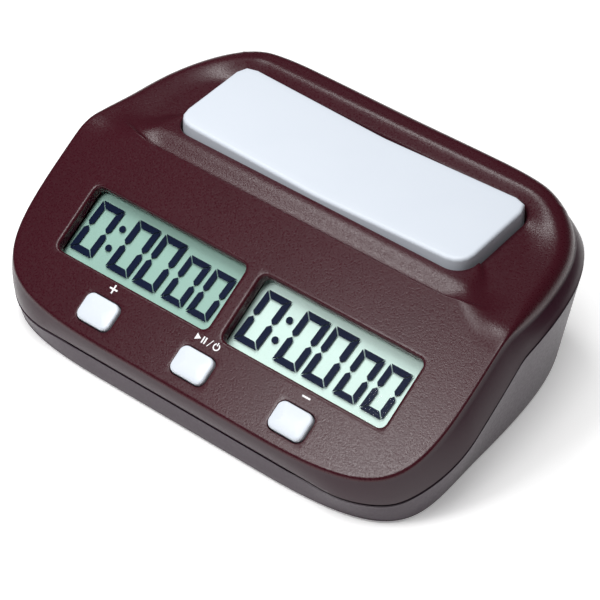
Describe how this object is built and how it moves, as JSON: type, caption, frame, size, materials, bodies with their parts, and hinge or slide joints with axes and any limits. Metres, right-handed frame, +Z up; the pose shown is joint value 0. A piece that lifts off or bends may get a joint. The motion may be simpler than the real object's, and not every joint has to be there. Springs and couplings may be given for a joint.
{
  "type": "tabletop chess clock",
  "caption": "Wedge-shaped digital chess clock with paired displays on a sloping face, push buttons below them, a see-saw lever on top and a battery under a sliding door.",
  "frame": {"origin": "on the table under the middle of the case, at the feet's undersides", "axes": "+X to the players' right when the displays are read, +Y to the back, +Z up"},
  "size_m": [0.15, 0.103, 0.045],
  "materials": {
    "board": "green glass-epoxy board",
    "button": "satin pale grey-white ABS",
    "case_base": "smooth satin plum-grey ABS",
    "case_top": "fine spark-eroded maroon ABS",
    "cell": "printed plastic sleeve over the can",
    "chip": "black moulded epoxy",
    "contact": "nickel-plated spring steel",
    "foot": "soft black rubber",
    "holder": "black moulded frame",
    "lcd_left": "reflective grey-green liquid crystal glass",
    "lcd_right": "reflective grey-green liquid crystal glass",
    "lens": "clear polished acrylic",
    "lever": "satin pale grey-white ABS",
    "silicone": "translucent grey silicone",
    "steel": "zinc-plated steel",
    "strip": "zebra elastomer"
  },
  "bodies": {
    "case": {"base_shell": "case_base", "battery_cell": "cell", "battery_plate_contact": "contact", "battery_spring_contact": "contact", "button_dome_minus": "silicone", "button_dome_play": "silicone", "button_dome_plus": "silicone", "buzzer": "chip", "case_screws": "steel", "contact_strips_left": "strip", "contact_strips_right": "strip", "controller_chip": "chip", "display_lens_left": "lens", "display_lens_right": "lens", "foot_back_left": "foot", "foot_back_right": "foot", "foot_front_left": "foot", "foot_front_right": "foot", "lcd_holder_left": "holder", "lcd_holder_right": "holder", "lcd_left": "lcd_left", "lcd_right": "lcd_right", "lever_axle": "steel", "lever_dome_left": "silicone", "lever_dome_right": "silicone", "main_board": "board", "main_board_screws": "steel", "switch_board": "board", "switch_board_screws": "steel", "timing_crystal": "steel", "top_shell": "case_top"},
    "lever": {"lever": "lever"},
    "button_plus": {"button_plus": "button"},
    "button_play": {"button_play": "button"},
    "button_minus": {"button_minus": "button"},
    "battery_door": {"battery_door": "case_base"}
  },
  "joints": [
    {"name": "lever_rock", "type": "hinge", "parent": "case", "child": "lever", "pos_m": [0, 0.0225, 0.0374], "axis": [0, 1, 0], "range_deg": [-3.5, 3.5], "stiffness_Nm_per_rad": 0.5, "deforming": ["lever_dome_left", "lever_dome_right"]},
    {"name": "button_plus_press", "type": "slide", "parent": "case", "child": "button_plus", "axis": [0, 0.5, -0.866], "range_m": [0, 0.001], "stiffness_N_per_m": 700, "springref_m": -0.0003, "deforming": ["button_dome_plus"]},
    {"name": "button_play_press", "type": "slide", "parent": "case", "child": "button_play", "axis": [0, 0.5, -0.866], "range_m": [0, 0.001], "stiffness_N_per_m": 700, "springref_m": -0.0003, "deforming": ["button_dome_play"]},
    {"name": "button_minus_press", "type": "slide", "parent": "case", "child": "button_minus", "axis": [0, 0.5, -0.866], "range_m": [0, 0.001], "stiffness_N_per_m": 700, "springref_m": -0.0003, "deforming": ["button_dome_minus"]},
    {"name": "battery_door_slide", "type": "slide", "parent": "case", "child": "battery_door", "axis": [0, 1, 0], "range_m": [0, 0.03]}
  ]
}
